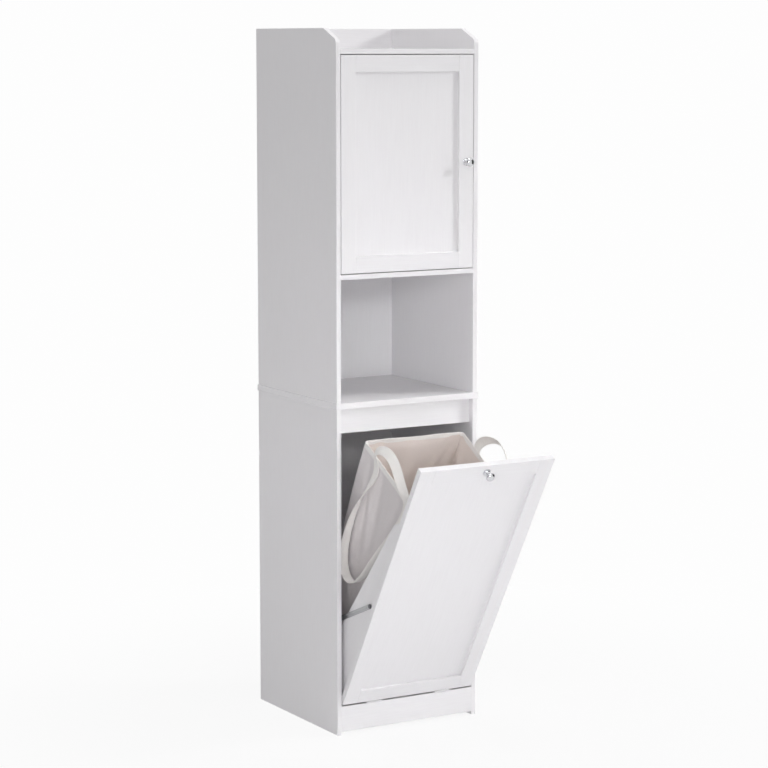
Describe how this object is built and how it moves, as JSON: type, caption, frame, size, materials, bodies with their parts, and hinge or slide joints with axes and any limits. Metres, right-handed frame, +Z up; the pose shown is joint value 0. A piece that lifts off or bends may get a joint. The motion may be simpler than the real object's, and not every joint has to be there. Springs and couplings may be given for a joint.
{
  "type": "tall cabinet",
  "caption": "Tall narrow white cabinet: galleried top, framed upper door with shelf, open niche and a tilt-out laundry bin with cloth bag on slotted stays.",
  "frame": {"origin": "on the floor, under the middle of the outline with the laundry bin tilted out", "axes": "+Z up, front of the cabinet faces -Y, +X to the right when seen from the front"},
  "size_m": [0.4, 0.7786, 1.7],
  "materials": {
    "white_board": "smooth white foil on board, satin",
    "white_back": "thin white-faced hardboard",
    "beech": "plain turned dowel",
    "chrome": "polished",
    "zinc": "zinc-plated steel",
    "white_metal": "white enamel",
    "white_plastic": "moulded",
    "bag_cloth": "light woven cotton",
    "webbing": "flat woven webbing"
  },
  "bodies": {
    "cabinet": {"adjustable_shelf": "white_board", "apron_rail": "white_board", "base_rail": "white_board", "bottom_panel": "white_board", "butt_hinge_pins": "white_metal", "butt_hinge_rail_leaves": "white_metal", "butt_hinge_rail_screws": "white_metal", "cam_bolts": "zinc", "cam_discs": "zinc", "catch_body": "white_plastic", "catch_screws": "zinc", "cup_hinge_arms": "zinc", "cup_hinge_plate_screws": "zinc", "cup_hinge_plates": "zinc", "dowels": "beech", "fixed_shelf": "white_board", "gallery_rail": "white_board", "left_side_lower": "white_board", "left_side_upper": "white_board", "lower_back": "white_back", "middle_board": "white_board", "right_side_lower": "white_board", "right_side_upper": "white_board", "shelf_pins": "zinc", "stay_guide_pins": "zinc", "top_panel": "white_board", "upper_back": "white_back"},
    "upper_door": {"catch_strike": "zinc", "catch_strike_screw": "zinc", "cup_hinge_cup_screws": "zinc", "cup_hinge_cups": "zinc", "cup_hinge_pins": "zinc", "door_bottom_rail": "white_board", "door_hinge_stile": "white_board", "door_knob": "chrome", "door_knob_screw": "zinc", "door_knob_stile": "white_board", "door_panel": "white_board", "door_top_rail": "white_board"},
    "hamper": {"butt_hinge_door_leaves": "white_metal", "butt_hinge_door_screws": "white_metal", "hamper_bottom_rail": "white_board", "hamper_dowels": "beech", "hamper_knob": "chrome", "hamper_knob_screw": "zinc", "hamper_left_cheek": "white_board", "hamper_left_stile": "white_board", "hamper_panel": "white_board", "hamper_right_cheek": "white_board", "hamper_right_stile": "white_board", "hamper_top_rail": "white_board", "hamper_tray": "white_board", "laundry_bag": "bag_cloth", "left_strap": "webbing", "right_strap": "webbing", "stay_pivot_screws": "zinc"},
    "left_stay": {"left_stay": "zinc"},
    "right_stay": {"right_stay": "zinc"}
  },
  "joints": [
    {"name": "upper_door_hinge", "type": "hinge", "parent": "cabinet", "child": "upper_door", "pos_m": [-0.167, -0.00601, 1.3795], "axis": [0, 0, -1], "range_deg": [0, 92]},
    {"name": "hamper_tilt", "type": "hinge", "parent": "cabinet", "child": "hamper", "pos_m": [0, -0.01591, 0.0717], "axis": [1, 0, 0], "range_deg": [-30, 0]},
    {"name": "left_stay_pivot", "type": "hinge", "parent": "hamper", "child": "left_stay", "pos_m": [-0.1755, -0.13298, 0.34128], "axis": [1, 0, 0], "range_deg": [0, 15]},
    {"name": "right_stay_pivot", "type": "hinge", "parent": "hamper", "child": "right_stay", "pos_m": [0.1755, -0.13298, 0.34128], "axis": [1, 0, 0], "range_deg": [0, 15]}
  ],
  "couplings": [
    {"joint": "left_stay_pivot", "follows": "hamper_tilt", "ratio": -0.5},
    {"joint": "right_stay_pivot", "follows": "hamper_tilt", "ratio": -0.5}
  ]
}
